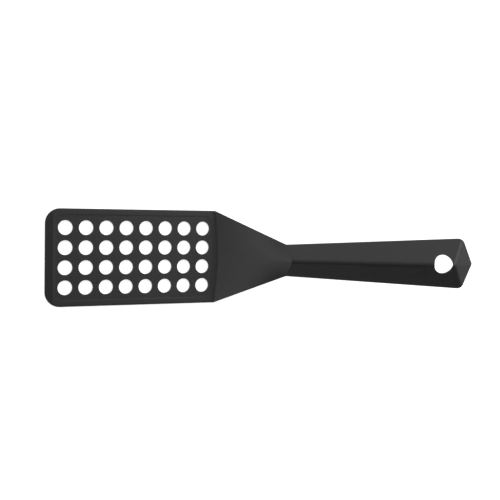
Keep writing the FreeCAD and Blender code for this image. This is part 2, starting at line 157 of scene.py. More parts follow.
def cut_with(piece: Object, cutter: Object) -> None:
    """Cut one closed shape out of another, and drop the cutter.

    Args:
        piece: The object that is cut.
        cutter: The object that is taken away.
    """
    cut = piece.modifiers.new("cut", "BOOLEAN")
    cut.operation = "DIFFERENCE"
    cut.solver = "EXACT"
    cut.object = cutter
    bake_modifiers(piece)
    bpy.data.objects.remove(cutter)


def soften(piece: Object, width: float, segments: int, angle: float) -> None:
    """Round a piece's sharp edges a little.

    Args:
        piece: The object to soften.
        width: Width of the rounding, in millimetres.
        segments: How many faces each rounding has.
        angle: Edges sharper than this are rounded, in degrees.
    """
    bevel = piece.modifiers.new("soften", "BEVEL")
    bevel.width = width * MM
    bevel.segments = segments
    bevel.limit_method = "ANGLE"
    bevel.angle_limit = math.radians(angle)
    bevel.use_clamp_overlap = True
    bake_modifiers(piece)


def shade(piece: Object, angle: float = 32.0) -> None:
    """Shade smoothly across gentle edges and keep sharp ones sharp.

    Args:
        piece: The object to shade.
        angle: Edges sharper than this stay sharp, in degrees.
    """
    mesh = piece.data
    mesh.polygons.foreach_set("use_smooth", [True] * len(mesh.polygons))
    mesh.set_sharp_from_angle(angle=math.radians(angle))


def keep(piece: Object, slot: str, material: Material, *replaced: str) -> None:
    """Dress a finished piece, ride it on its body and report it.

    Args:
        piece: The finished object.
        slot: Not used.
        material: The piece's material.
        replaced: CAD nodes that the piece stands for.
    """
    piece.data.materials.clear()
    piece.data.materials.append(material)
    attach(piece, BODY)
    if replaced:
        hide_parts(*replaced)
    log.info("%s: %d faces", piece.name, len(piece.data.polygons))


def blank_tree(owner: Material | World) -> NodeTree:
    """Turn on the nodes of a material or a world and return the tree, emptied."""
    owner.use_nodes = True
    owner.node_tree.nodes.clear()
    return owner.node_tree


def start_tree(name: str, inputs: dict[str, str]) -> NodeTree:
    """Start a geometry tree that takes a geometry, named values and a material.

    Args:
        name: The tree's name.
        inputs: Each named value and its kind, such as Float.

    Returns:
        The tree, with its sockets and no nodes.
    """
    tree = bpy.data.node_groups.new(name, "GeometryNodeTree")
    for label, kind in {"Geometry": "Geometry", **inputs, "Material": "Material"}.items():
        tree.interface.new_socket(label, in_out="INPUT", socket_type=f"NodeSocket{kind}")
    tree.interface.new_socket("Geometry", in_out="OUTPUT", socket_type="NodeSocketGeometry")
    return tree


def end_tree(tree: NodeTree, shape: NodeSocket, material: NodeSocket) -> None:
    """End a geometry tree with real, dressed geometry.

    Args:
        tree: The tree.
        shape: The geometry that it has made.
        material: The material that it was given.
    """
    real = add_node(tree, "GeometryNodeRealizeInstances", {}, {"Geometry": shape})
    dressed = add_node(tree, "GeometryNodeSetMaterial", {}, {
        "Geometry": real.outputs["Geometry"], "Material": material})
    add_node(tree, "NodeGroupOutput", {}, {"Geometry": dressed.outputs["Geometry"]})


def apply_tree(piece: Object, tree: NodeTree, values: dict) -> None:
    """Run a geometry tree on a piece and keep only the plain mesh.

    Args:
        piece: The piece.
        tree: The geometry tree.
        values: The value of each named input.
    """
    modifier = piece.modifiers.new(tree.name, "NODES")
    modifier.node_group = tree
    named = {item.name: item.identifier for item in tree.interface.items_tree
             if item.item_type == "SOCKET" and item.in_out == "INPUT"}
    for name, value in values.items():
        modifier[named[name]] = value
    bake_modifiers(piece)


def circle(radius: float, sides: int) -> list[tuple[float, float]]:
    """Corners of a regular polygon about the origin."""
    angles = (2 * math.pi * i / sides for i in range(sides))
    return [(radius * math.cos(a), radius * math.sin(a)) for a in angles]


def prism(name: str, outline: Sequence[Sequence[float]], place: Matrix | None = None,
          low: float = CUTTER_LOW, high: float = CUTTER_HIGH, top_scale: float = 1.0) -> Object:
    """Make a closed prism, which cuts what it meets.

    Args:
        name: Its name.
        outline: The corners of its plan, once round, in millimetres.
        place: Where its own frame lies in the tool's frame, in millimetres.
        low: Height of its lower face.
        high: Height of its upper face.
        top_scale: Size of the upper face against the lower one.

    Returns:
        The prism.
    """
    count = len(outline)
    points = [(x, y, low) for x, y in outline]
    points += [(x * top_scale, y * top_scale, high) for x, y in outline]
    sides = [(i, (i + 1) % count, count + (i + 1) % count, count + i) for i in range(count)]
    caps = [tuple(range(count)), tuple(range(count, 2 * count))]
    return new_object(name, mesh_from(name, points, sides + caps, place))


def cad_copy(node: str, name: str, keep_past: float | None = None) -> Object:
    """Copy a CAD node as a clean mesh of whole faces.

    Args:
        node: The CAD node.
        name: The new piece's name.
        keep_past: Where given, only what lies past this X is kept, in millimetres.

    Returns:
        The new piece.
    """
    shape = bmesh.new()
    shape.from_mesh(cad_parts[node].data)
    bmesh.ops.remove_doubles(shape, verts=shape.verts, dist=CAD_WELD)
    if keep_past is not None:
        everything = [*shape.verts, *shape.edges, *shape.faces]
        cut = bmesh.ops.bisect_plane(shape, geom=everything, plane_co=(keep_past * MM, 0, 0),
                                     plane_no=(1, 0, 0), clear_inner=True)
        rim = [item for item in cut["geom_cut"] if isinstance(item, bmesh.types.BMEdge)]
        bmesh.ops.contextual_create(shape, geom=rim)
    bmesh.ops.dissolve_limit(shape, angle_limit=FLAT_ANGLE, verts=shape.verts, edges=shape.edges)
    mesh = bpy.data.meshes.new(name)
    shape.to_mesh(mesh)
    shape.free()
    return new_object(name, mesh)


def even_normals(piece: Object) -> None:
    """Keep the large flat faces flat to the eye beside their rounded edges.

    Args:
        piece: The piece.
    """
    shade(piece, 35.0)
    weighted = piece.modifiers.new("even_normals", "WEIGHTED_NORMAL")
    weighted.keep_sharp = True
    bake_modifiers(piece)


def sum_of(tree: NodeTree, kind: str, first: object, second: object = 0.0) -> NodeSocket:
    """The result of a sum on one or two values, as a socket."""
    return add_node(tree, "ShaderNodeMath", {"operation": kind}, {0: first, 1: second}).outputs[0]


def speckle(tree: NodeTree, size_mm: float, detail: float, roughness: float = 0.5) -> NodeSocket:
    """Add noise in the piece's own coordinates.

    Args:
        tree: The material's tree.
        size_mm: Size of its patches.
        detail: How many finer layers it has.
        roughness: How strong the finer layers are.

    Returns:
        The noise, from 0 to 1.
    """
    place = add_node(tree, "ShaderNodeTexCoord").outputs["Object"]
    noise = add_node(tree, "ShaderNodeTexNoise", {}, {
        "Vector": place, "Scale": 1 / (size_mm * MM), "Detail": detail, "Roughness": roughness})
    return noise.outputs["Fac"]


def roughness_between(tree: NodeTree, noise: NodeSocket, low: float, high: float) -> NodeSocket:
    """Spread a noise over a range of roughness."""
    spread = add_node(tree, "ShaderNodeMapRange", {}, {
        "Value": noise, "From Min": 0.3, "From Max": 0.7, "To Min": low, "To Max": high})
    return spread.outputs["Result"]


def end_material(tree: NodeTree, values: dict) -> None:
    """End a material's tree with its shader, given the values of the shader's own sockets."""
    shader = add_node(tree, "ShaderNodeBsdfPrincipled", {}, values)
    add_node(tree, "ShaderNodeOutputMaterial", {}, {"Surface": shader.outputs["BSDF"]})


def smooth_step(value: float) -> float:
    """A smooth rise from 0 to 1 as the value goes from 0 to 1."""
    t = min(1.0, max(0.0, value))
    return t * t * (3 - 2 * t)


def soft_ramp(distance: float, radius: float) -> float:
    """Zero before the origin and the distance after it, rounded where they meet."""
    return (distance + math.hypot(distance, radius)) / 2


# ---- Finishes

class Surface(Enum):
    """How a nylon surface left its mould."""

    SATIN = "satin"
    GRAINED = "grained"


@dataclass(frozen=True)
class MouldedNylon:
    """Black glass-filled nylon 66, injection moulded: a dense, slightly milky black skin.

    Attributes:
        name: The material's name.
        colour: The skin's colour, sRGB hex.
        bloom: The colour of the faint milky patches that the glass fibres leave.
        roughness: How dull the polished parts of the mould leave it.
        flow_mm: Size of the flow patches.
        orange_peel_mm: Spacing of the mould's polishing marks.
        surface: Whether the mould's flat field was spark eroded.
        grain_mm: Pitch of the spark-eroded grain, drawn about twice as coarse as it is, because the
            real pitch is too fine to show.
        field_mm: The grained field's first and last X and half its width.
    """

    name: str
    colour: str = "1e1e1f"
    bloom: str = "222223"
    roughness: float = 0.52
    flow_mm: float = 24.0
    orange_peel_mm: float = 0.9
    peel_depth_mm: float = 0.02
    surface: Surface = Surface.SATIN
    grain_mm: float = 0.8
    grain_depth_mm: float = 0.12
    field_mm: Point = (-62.6, 61.4, 32.4)

    def material(self) -> Material:
        """Build the node tree.

        Returns:
            The material.
        """
        material = bpy.data.materials.new(self.name)
        tree = blank_tree(material)
        tint = add_node(tree, "ShaderNodeMix", {"data_type": "RGBA"}, {
            "Factor": speckle(tree, self.flow_mm, 2.0),
            "A": linear(self.colour), "B": linear(self.bloom)})
        peel = speckle(tree, self.orange_peel_mm, 3.0)
        dull = roughness_between(tree, peel, self.roughness - 0.04, self.roughness + 0.05)
        bump = add_node(tree, "ShaderNodeBump", {}, {
            "Height": peel, "Distance": self.peel_depth_mm * MM, "Strength": 0.35})
        normal = bump.outputs["Normal"]
        if self.surface is Surface.GRAINED:
            normal = self.grain(tree, normal)
        end_material(tree, {"Base Color": tint.outputs["Result"], "Roughness": dull,
                            "Normal": normal, "IOR": 1.53})
        return material

    def grain(self, tree: NodeTree, normal: NodeSocket) -> NodeSocket:
        """Add the spark-eroded grain within the sunk field.

        Args:
            tree: The material's tree.
            normal: The normal so far.

        Returns:
            The grained normal.
        """
        first, last, half = (edge * MM for edge in self.field_mm)
        place = add_node(tree, "ShaderNodeTexCoord").outputs["Object"]
        parts = add_node(tree, "ShaderNodeSeparateXYZ", {}, {"Vector": place})
        along, across = parts.outputs["X"], sum_of(tree, "ABSOLUTE", parts.outputs["Y"])
        mask: NodeSocket | float = 1.0
        for source, outer, inner in ((along, first, first + MM), (along, last, last - MM),
                                     (across, half, half - MM)):
            ramp = add_node(tree, "ShaderNodeMapRange", {"interpolation_type": "SMOOTHSTEP"}, {
                "Value": source, "From Min": outer, "From Max": inner})
            mask = sum_of(tree, "MULTIPLY", mask, ramp.outputs["Result"])
        bump = add_node(tree, "ShaderNodeBump", {}, {
            "Height": speckle(tree, self.grain_mm, 1.5, 0.6),
            "Distance": self.grain_depth_mm * MM, "Strength": mask, "Normal": normal})
        return bump.outputs["Normal"]


# each light's name, place, aim, side (all in metres) and power in watts
SOFTBOXES: tuple[tuple[str, Point, Point, float, float], ...] = (
    ("key_softbox", (0.9, 0.75, 0.9), (0.08, 0, 0.03), 0.8, 7.1),
    ("top_softbox", (0.6, 0.15, 1.35), (0.05, 0, 0), 0.9, 4.4),
    ("end_softbox", (1.1, -0.1, 0.6), (0.08, 0, 0.05), 0.7, 1.8),
    ("side_softbox", (0.1, 1.1, 0.5), (0.08, 0, 0.05), 0.8, 1.3),
    ("back_softbox", (-0.6, 0.9, 1.0), (0.08, 0, 0.03), 0.8, 3.3),
    ("front_softbox", (-1.0, 0.1, 0.45), (0.08, 0, 0.02), 0.7, 3.5),
)


@dataclass(frozen=True)
class Studio:
    """The camera, the floor and the soft lights.

    Attributes:
        eye: Where the camera stands, in millimetres.
        right: The direction that is right in the picture.
        up: The direction that is up in the picture.
        lens: Focal length, in millimetres.
    """

    eye: Point = (-170.67, 42.88, 610.77)
    right: Point = (0.91654, 0.02123, 0.39940)
    up: Point = (0.00310, 0.99819, -0.06018)
    lens: float = 58.67

    def camera(self) -> None:
        """Make the camera and look through it."""
        data = bpy.data.cameras.new("studio_camera")
        data.lens = self.lens
        data.sensor_width = SENSOR_MM
        data.clip_start = 0.01
        camera = bpy.data.objects.new("studio_camera", data)
        right = Vector(self.right).normalized()
        up = (Vector(self.up) - right * right.dot(Vector(self.up))).normalized()
        back = right.cross(up)
        turn = Matrix((right, up, back)).transposed().to_4x4()
        camera.matrix_world = Matrix.Translation(Vector(self.eye) * MM) @ turn
        bpy.context.scene.collection.objects.link(camera)
        bpy.context.scene.camera = camera

    def floor(self) -> None:
        """Make the plain pale floor, just below the blade."""
        reach, level = 4.0, -0.0003
        mesh = bpy.data.meshes.new("floor")
        signs = ((-1, -1), (1, -1), (1, 1), (-1, 1))
        mesh.from_pydata([(x * reach, y * reach, level) for x, y in signs], [], [(0, 1, 2, 3)])
        floor = new_object("floor", mesh)
        material = bpy.data.materials.new("floor_paper")
        tree = blank_tree(material)
        end_material(tree, {
            "Base Color": linear("fafafa"), "Roughness": 0.9, "Specular IOR Level": 0.1,
            "Emission Color": linear("ffffff"), "Emission Strength": 0.72})
        mesh.materials.append(material)

    def light(self, name: str, place: Point, aim: Point, size: float, power: float) -> None:
        """Make one soft square light.

        Args:
            name: The light's name.
            place: Where it hangs, in metres.
            aim: What it points at, in metres.
            size: Its side, in metres.
            power: Its power, in watts.
        """
        data = bpy.data.lights.new(name, "AREA")
        data.shape = "SQUARE"
        data.size = size
        data.energy = power
        lamp = bpy.data.objects.new(name, data)
        lamp.location = place
        lamp.rotation_euler = (Vector(aim) - Vector(place)).to_track_quat("-Z", "Y").to_euler()
        bpy.context.scene.collection.objects.link(lamp)

    def world(self) -> None:
        """Give the room pale walls that add only a little light of their own."""
        world = bpy.data.worlds.new("white_room")
        tree = blank_tree(world)
        seen = add_node(tree, "ShaderNodeLightPath").outputs["Is Camera Ray"]
        walls = add_node(tree, "ShaderNodeBackground", {}, {
            "Color": linear("f4f4f4"), "Strength": 1.0})
        glow = add_node(tree, "ShaderNodeBackground", {}, {
            "Color": linear("ffffff"), "Strength": 0.03})
        room = add_node(tree, "ShaderNodeMixShader", {}, {
            0: seen, 1: glow.outputs["Background"], 2: walls.outputs["Background"]})
        add_node(tree, "ShaderNodeOutputWorld", {}, {"Surface": room.outputs["Shader"]})
        bpy.context.scene.world = world

    def build(self) -> None:
        """Make the whole studio."""
        self.floor()
        self.world()
        for name, place, aim, size, power in SOFTBOXES:
            self.light(name, place, aim, size, power)
        bpy.context.scene.view_settings.view_transform = "Standard"


# ---- The handle's shape, which the head, the cover, the strip and the badge share

@dataclass
class HandleForm:
    """The roof-shaped form of the handle, in millimetres, along its own slope from the neck.

    Attributes:
        neck: X of the neck.
        rise: Height of the handle's lower edge at the neck.
        slope: Degrees above the blade.
        half: Half the neck's width.
        widening: Growth of the half width per millimetre.
        roof: Degrees of each facet.
        skirt: Height of the upright edge below a facet.
        wall: Wall of the cover.
    """

    neck: float = 106.0
    rise: float = 46.0
    slope: float = 20.9
    half: float = 12.2
    widening: float = 0.0543
    roof: float = 36.0
    skirt: float = 2.0
    wall: float = 2.0

    @property
    def pitch(self) -> float:
        """Rise of each facet per millimetre."""
        return math.tan(math.radians(self.roof))

    def half_at(self, reach: float) -> float:
        """Half the width at a distance from the neck."""
        return self.half + self.widening * reach

    def ridge_at(self, reach: float) -> float:
        """Height of the ridge at a distance from the neck."""
        return self.skirt + self.half_at(reach) * self.pitch

    def place(self) -> Matrix:
        """Where the handle's own frame lies in the tool's frame, in millimetres."""
        turn = Matrix.Rotation(-math.radians(self.slope), 4, "Y")
        return Matrix.Translation((self.neck, 0, self.rise)) @ turn

    def height(self, x: float, y: float) -> float:
        """Height of the facet above a point of the plan, in the tool's frame.

        Args:
            x: Along the tool.
            y: Across it.

        Returns:
            The height of the outer surface there.
        """
        c, s = math.cos(math.radians(self.slope)), math.sin(math.radians(self.slope))
        grow = self.widening * self.pitch
        start = self.skirt + (self.half - abs(y)) * self.pitch
        local = (start + grow * (x - self.neck) / c) / (1 - grow * s / c)
        reach = (x - self.neck + local * s) / c
        return self.rise + reach * s + local * c


# ---- Head: the perforated blade and the shoulder

# how round the shoulder's crown is at the neck, and how much rounder it is at the heel
NECK_SOFTNESS = 0.16
HEEL_SOFTNESS = 1.4

# where the head's sections lie: steps in millimetres from the edge or crease that each row is for
CORNER_TURNS = 16
CLIMB_STEPS = 18
FRONT_STEPS = (0.12, 0.35)
FIELD_STEPS = (0, 0.15, 0.3, 0.45, 0.6, 1.2, 2, 3, 4, 5, 6)
FLAT_STATIONS = [(-40.0, 0.0), (-10.0, 0.0), (20.0, 0.0), (40.0, 0.2)]
HEEL_STEPS = (10, 8, 6.5, 5.5, 4.7, 4, 3.6, 3.45, 3.3, 3.15, 3, 2.5, 2, 1.5, 1, 0.6, 0.3, 0)
SHOULDER_STEPS = (0.3, 0.6, 1, 1.5, 2.2, 3, 4, 5.5)

# where each section has its points: shares of the half width, then steps from the outline
INNER_SHARES = (0, 0.03, 0.06, 0.1, 0.15, 0.22, 0.3, 0.4, 0.5, 0.6, 0.68, 0.72)
RIM_STEPS = (9.6, 8.8, 8, 7.2, 6.4, 5.7, 5.3, 5, 4.85, 4.7, 4.55, 4.4, 3.4, 2.2)
EDGE_ANGLES = (0, 15, 30, 45, 60, 75, 90)


@dataclass
class Head:
    """The blade and the shoulder, one moulding, in millimetres.

    Attributes:
        form: The handle that the shoulder runs into.
        front: X of the front edge.
        heel: X of the crease between the blade and the shoulder.
        half: Half the blade's width.
        corner: Radius of the front corners.
        bevel: Length of the front edge's bevel, which leaves the thickness edge.
        rim: Rim beside the field, with front_rim and heel_rim at its ends.
        sunk: How far the field lies below the rim, down a slope field_slope wide.
        bow: How far the crease bows towards the handle.
        crease_back: How far the crease's ends lie before the heel.
        edge_radius: Rounding of the outline's upper edge.
        crown_growth: How late the shoulder's crown rises.
    """

    form: HandleForm
    front: float = -69.1
    heel: float = 64.2
    half: float = 36.8
    thick: float = 2.2
    corner: float = 11.2
    bevel: float = 5.5
    edge: float = 0.9
    rim: float = 4.4
    front_rim: float = 1.0
    heel_rim: float = 3.0
    sunk: float = 0.12
    field_corner: float = 6.0
    field_slope: float = 0.6
    bow: float = 2.8
    crease_back: float = 0.4
    crease_radius: float = 1.3
    edge_radius: float = 0.55
    crown_growth: float = 1.8
    hole_radius: float = 5.5
    hole_chamfer: float = 0.25
    pitch_along: float = 15.5
    pitch_across: float = 15.0
    columns: int = 8
    rows: int = 4

    def crease(self, share: float) -> float:
        """X of the heel crease at a share of the half width, bowed towards the handle."""
        return self.heel - self.crease_back + self.bow * (1 - share * share)

    def half_at(self, x: float) -> float:
        """Half the outline's width at a distance along the tool.

        Args:
            x: Along the tool.

        Returns:
            Half the width, with the front corners round and the shoulder tapering.
        """
        depth = x - self.front
        if depth < self.corner:
            rest = max(0.0, self.corner - depth)
            return self.half - self.corner + math.sqrt(max(0.0, self.corner ** 2 - rest ** 2))
        if x <= self.heel:
            return self.half
        share = (x - self.heel) / (self.form.neck - self.heel)
        return self.half + (self.form.half - self.half) * share

    def field_mask(self, x: float, y: float, share: float) -> float:
        """How far a point lies within the sunk field, from 0 on the rim to 1.

        Args:
            x: Along the tool.
            y: Across it.
            share: The point's share of the half width.

        Returns:
            The mask's value.
        """
        first = self.front + self.bevel + self.front_rim
        along = min(x - first, self.crease(share) - self.heel_rim - x)
        across = self.half - self.rim - abs(y)
        corner = self.field_corner
        if along < corner and across < corner:
            inside = corner - math.hypot(corner - along, corner - across)
        else:
            inside = min(along, across)
        return smooth_step(inside / self.field_slope)

    def top(self, x: float, y: float, share: float) -> float:
        """Height of the upper surface.

        Args:
            x: Along the tool.
            y: Across it.
            share: The point's share of the half width.

        Returns:
            The height.
        """
        level = self.thick - self.sunk * self.field_mask(x, y, share)
        depth = x - self.front
        if depth < self.bevel:
            level -= (self.thick - self.edge) * (1 - depth / self.bevel)
        crease = self.crease(share)
        run = self.form.neck - crease
        along = max(0.0, min(1.0, (x - crease) / run))
        lip = self.form.height(self.form.neck, self.form.half)
        climb = (lip - self.thick) * soft_ramp(x - crease, self.crease_radius) / run
        softness = NECK_SOFTNESS + HEEL_SOFTNESS * (1 - along) ** 2
        spread = math.sqrt(1 + softness ** 2) - softness
        shape = 1 - (math.sqrt(share * share + softness ** 2) - softness) / spread
        crown = self.form.height(self.form.neck, 0) - lip
        return level + climb + crown * shape * along ** self.crown_growth

    def bottom(self, x: float, share: float) -> float:
        """Height of the lower surface.

        Args:
            x: Along the tool.
            share: The point's share of the half width.

        Returns:
            The height.
        """
        lean = math.atan(self.form.rise / (self.form.neck - self.heel)) / 2
        crease = self.crease(share) + self.thick * math.tan(lean)
        ramp = soft_ramp(x - crease, self.crease_radius)
        return self.form.rise * ramp / (self.form.neck - crease)

    def stations(self) -> list[tuple[float, float]]:
        """Where the sections lie, close together where the surface turns.

        Returns:
            Each section's X at the crease's ends and its share of the crease's bow.
        """
        quarter = math.pi / 2
        arc = [self.corner * (1 - math.cos(quarter * i / CORNER_TURNS))
               for i in range(CORNER_TURNS + 1)]
        first = self.bevel + self.front_rim
        field_steps = [first + step for step in FIELD_STEPS]
        near = {round(step, 4) for step in (*arc, *field_steps, self.bevel, *FRONT_STEPS)}
        places = [(self.front + step, 0.0) for step in sorted(near)]
        places += FLAT_STATIONS
        heel = self.heel - self.crease_back
        places += [(heel - back, 1.0) for back in HEEL_STEPS]
        run = self.form.neck - heel
        places += [(heel + ahead, 1 - ahead / run) for ahead in SHOULDER_STEPS]
        done = SHOULDER_STEPS[-1]
        for i in range(1, CLIMB_STEPS + 1):
            share = (done + (run - done) * i / CLIMB_STEPS) / run
            places.append((heel + run * share, 1 - share))
        return places

    def shares(self) -> list[float]:
        """Shares of the half width where the sections have their points, from 0 to 1."""
        return [*INNER_SHARES, *(1 - back / self.half for back in RIM_STEPS)]

    def section(self, x: float, bow: float) -> list[Point]:
        """One closed section of the head.

        Args:
            x: Where the section lies at the crease's ends.
            bow: Its share of the crease's bow.

        Returns:
            The section's points, once round.
        """
        r = self.edge_radius
        place = [(s, None) for s in self.shares()]
        place += [(None, r * (1 - math.sin(math.radians(a)))) for a in EDGE_ANGLES]
        upper: list[Point] = []
        lower: list[Point] = []
        for share, back in place:
            s = share if share is not None else 1.0
            px = x + bow * self.bow * (1 - s * s)
            half = self.half_at(px)
            y = s * half if share is not None else half - back
            s = y / half
            rest = max(0.0, half - y)
            z, low = self.top(px, y, s), self.bottom(px, s)
            room = max(0.05, min(r, (z - low) * 0.4))
            drop = 0.0
            if back is not None:
                drop = room * (1 - math.sqrt(max(0.0, 1 - (1 - rest / r) ** 2)))
            front = px - self.front
            if front < room:
                drop = max(drop, room - math.sqrt(max(0.0, room ** 2 - (room - front) ** 2)))
            upper.append((px, y, z - drop))
            lower.append((px, y, low + drop * 0.5))
        ring = [(p[0], -p[1], p[2]) for p in reversed(upper[1:])] + upper
        ring += list(reversed(lower)) + [(p[0], -p[1], p[2]) for p in lower[1:]]
        return ring

    def mesh(self) -> Mesh:
        """The head without its holes.

        Returns:
            A closed mesh.
        """
        rings = [self.section(x, bow) for x, bow in self.stations()]
        count = len(rings[0])
        points = [p for ring in rings for p in ring]
        faces: list[tuple[int, ...]] = []
        for i in range(len(rings) - 1):
            for j in range(count):
                k = (j + 1) % count
                here, there = i * count, (i + 1) * count
                faces.append((here + j, here + k, there + k, there + j))
        last = (len(rings) - 1) * count
        half = count // 2
        for base, flip in ((0, False), (last, True)):
            for j in range(half - 1):
                quad = (base + j, base + j + 1, base + count - 2 - j, base + count - 1 - j)
                faces.append(tuple(reversed(quad)) if flip else quad)
        return mesh_from("blade_and_shoulder", points, faces)

    def perforations(self) -> NodeTree:
        """The tree that drills the field of holes, each with a fine chamfer.

        Returns:
            The tree, with named inputs for its sizes.
        """
        tree = start_tree("perforated_field", {
            "Pitch Along": "Float", "Pitch Across": "Float", "Radius": "Float",
            "Thickness": "Float", "Chamfer": "Float", "Columns": "Int", "Rows": "Int"})
        given = add_node(tree, "NodeGroupInput").outputs

        spaces = {name: sum_of(tree, "SUBTRACT", given[name], 1.0) for name in ("Columns", "Rows")}
        grid = add_node(tree, "GeometryNodeMeshGrid", {}, {
            "Size X": sum_of(tree, "MULTIPLY", spaces["Columns"], given["Pitch Along"]),
            "Size Y": sum_of(tree, "MULTIPLY", spaces["Rows"], given["Pitch Across"]),
            "Vertices X": given["Columns"], "Vertices Y": given["Rows"]})
        half = sum_of(tree, "MULTIPLY", given["Thickness"], 0.5)
        waist = sum_of(tree, "SUBTRACT", half, given["Chamfer"])
        drill = add_node(tree, "GeometryNodeMeshCylinder", {"fill_type": "NGON"}, {
            "Vertices": 60, "Side Segments": 3, "Radius": given["Radius"],
            "Depth": sum_of(tree, "MULTIPLY", waist, 6.0)})
        place = add_node(tree, "GeometryNodeInputPosition").outputs["Position"]
        parts = add_node(tree, "ShaderNodeSeparateXYZ", {}, {"Vector": place})
        beyond = sum_of(tree, "SUBTRACT", sum_of(tree, "ABSOLUTE", parts.outputs["Z"]), waist)
        flare = sum_of(tree, "DIVIDE", sum_of(tree, "MAXIMUM", beyond, 0.0), given["Radius"])
        wider = sum_of(tree, "ADD", flare, 1.0)
        spread_out = add_node(tree, "ShaderNodeCombineXYZ", {}, {
            "X": sum_of(tree, "MULTIPLY", parts.outputs["X"], wider),
            "Y": sum_of(tree, "MULTIPLY", parts.outputs["Y"], wider),
            "Z": sum_of(tree, "ADD", parts.outputs["Z"], half)})
        tool = add_node(tree, "GeometryNodeSetPosition", {}, {
            "Geometry": drill.outputs["Mesh"], "Position": spread_out.outputs["Vector"]})
        spread = add_node(tree, "GeometryNodeInstanceOnPoints", {}, {
            "Points": grid.outputs["Mesh"], "Instance": tool.outputs["Geometry"]})
        drills = add_node(tree, "GeometryNodeRealizeInstances", {}, {
            "Geometry": spread.outputs["Instances"]})
        cut = add_node(tree, "GeometryNodeMeshBoolean", {
            "operation": "DIFFERENCE", "solver": "EXACT"}, {
            "Mesh 1": given["Geometry"], "Mesh 2": drills.outputs["Geometry"],
            "Hole Tolerant": True})
        end_tree(tree, cut.outputs["Mesh"], given["Material"])
        return tree

    def build(self, material: Material) -> None:
        """Make the blade and the shoulder, drill the holes and dress them.

        Args:
            material: The head's finish.
        """
        piece = new_object("blade_and_shoulder", self.mesh())
        apply_tree(piece, self.perforations(), {
            "Pitch Along": self.pitch_along * MM, "Pitch Across": self.pitch_across * MM,
            "Radius": self.hole_radius * MM, "Thickness": (self.thick - self.sunk) * MM,
            "Chamfer": self.hole_chamfer * MM, "Columns": self.columns, "Rows": self.rows,
            "Material": material})
        shade(piece)
        keep(piece, "head_nylon", material, "head")


# ---- Handle

# a point well inside the handle's form, along its slope from the neck
INSIDE = Vector((60, 0, 3))


@dataclass
class Hull:
    """The planes of the handle's closed form, from which its corners follow.

    Attributes:
        form: The handle's form.
        start: Where it begins along the slope.
        corner: The two corners of the end.
        tip: The point of the end.
        ridge_end: Where the ridge ends.
    """

    form: HandleForm
    start: float = -8.0
    corner: float = 138.2
    tip: float = 146.0
    ridge_end: float = 128.2

    def plane(self, points: Sequence[Point], inset: float) -> tuple[Vector, float]:
        """A plane through three points, moved in towards the handle's middle.

        Args:
            points: Three points.
            inset: How far in it moves.

        Returns:
            The plane's outward normal and its distance along it.
        """
        a, b, c = (Vector(p) for p in points)
        normal = (b - a).cross(c - a).normalized()
        if normal.dot(a - INSIDE) < 0:
            normal = -normal
        return normal, normal.dot(a) - inset

    def corners(self, inset: float, floor: float) -> list[Vector]:
        """The closed form's corners.

        Args:
            inset: How far each face but the floor is moved in.
            floor: Height of the floor.

        Returns:
            Start, end corner and tip at the floor, the same at the knee, then the ridge's ends.
        """
        f = self.form
        near, far, up = f.half_at(self.start), f.half_at(self.corner), f.skirt
        top = (self.ridge_end, 0.0, f.ridge_at(self.ridge_end))
        start = (Vector((-1, 0, 0)), -self.start)
        base = (Vector((0, 0, -1)), -floor)
        side = self.plane(((0, f.half, 0), (self.corner, far, 0), (self.corner, far, up)), inset)
        end = self.plane(((self.corner, far, 0), (self.tip, 0, 0), (self.tip, 0, up)), inset)
        facet = self.plane(((self.start, near, up), (self.corner, far, up), top), inset)
        hip = self.plane(((self.corner, far, up), (self.tip, 0, up), top), inset)

        def mirror(plane: tuple[Vector, float]) -> tuple[Vector, float]:
            """The same plane on the other side."""
            return Vector((plane[0].x, -plane[0].y, plane[0].z)), plane[1]

        def meet(*planes: tuple[Vector, float]) -> Vector:
            """The point where three planes meet."""
            return Matrix([p[0] for p in planes]).inverted() @ Vector([p[1] for p in planes])

        return [
            meet(side, start, base), meet(side, end, base), meet(end, mirror(end), base),
            meet(side, start, facet), meet(side, end, facet), meet(end, mirror(end), hip),
            meet(facet, mirror(facet), start), meet(facet, mirror(facet), hip),
        ]

    def solid(self, name: str, inset: float = 0.0, floor: float = 0.0) -> Object:
        """The closed form as an object.

        Args:
            name: Its name.
            inset: How far each face but the floor is moved in.
            floor: Height of the floor.

        Returns:
            The object.
        """
        right = self.corners(inset, floor)
        left = [Vector((p.x, -p.y, p.z)) for p in right]
        points = [right[0], right[1], right[2], left[1], left[0],
                  right[3], right[4], right[5], left[4], left[3], right[6], right[7]]
        faces = [(0, 1, 2, 3, 4), (0, 1, 6, 5), (1, 2, 7, 6), (2, 3, 8, 7), (3, 4, 9, 8),
                 (5, 6, 11, 10), (6, 7, 11), (7, 8, 11), (8, 9, 10, 11), (0, 5, 10, 9, 4)]
        return new_object(name, mesh_from(name, points, faces, self.form.place()))


# the share of the cover's softest rounding that each edge has, by the names of its corners
ROUNDING_SHARES = {
    ("ridge_start", "ridge_end"): 0.7, ("corner_floor", "corner_knee"): 1.0,
    ("ridge_end", "corner_knee"): 0.44, ("ridge_end", "tip_knee"): 0.44,
    ("tip_floor", "tip_knee"): 0.2, ("start_knee", "corner_knee"): 0.2,
    ("corner_knee", "tip_knee"): 0.2, ("start_floor", "corner_floor"): 0.1,
    ("corner_floor", "tip_floor"): 0.1,
}

PLAN_CLEARANCE = 0.02  # millimetres, between the plan's cutter and the cover's flat sides
PLAN_STEPS = 16
PLAN_MARGIN = 60.0  # how far the plan's cutter reaches past the handle
PLAN_HEIGHTS = (-20.0, 60.0)
NECK_MARGIN = 60.0
NECK_HEIGHTS = (-20.0, 120.0)
HOLE_SIDES = 96
HOLE_MIDDLE = 12.0  # height of the middle of the hole's cutter
HOLE_DEPTH = 30.0
SCREW_SIDES = 40


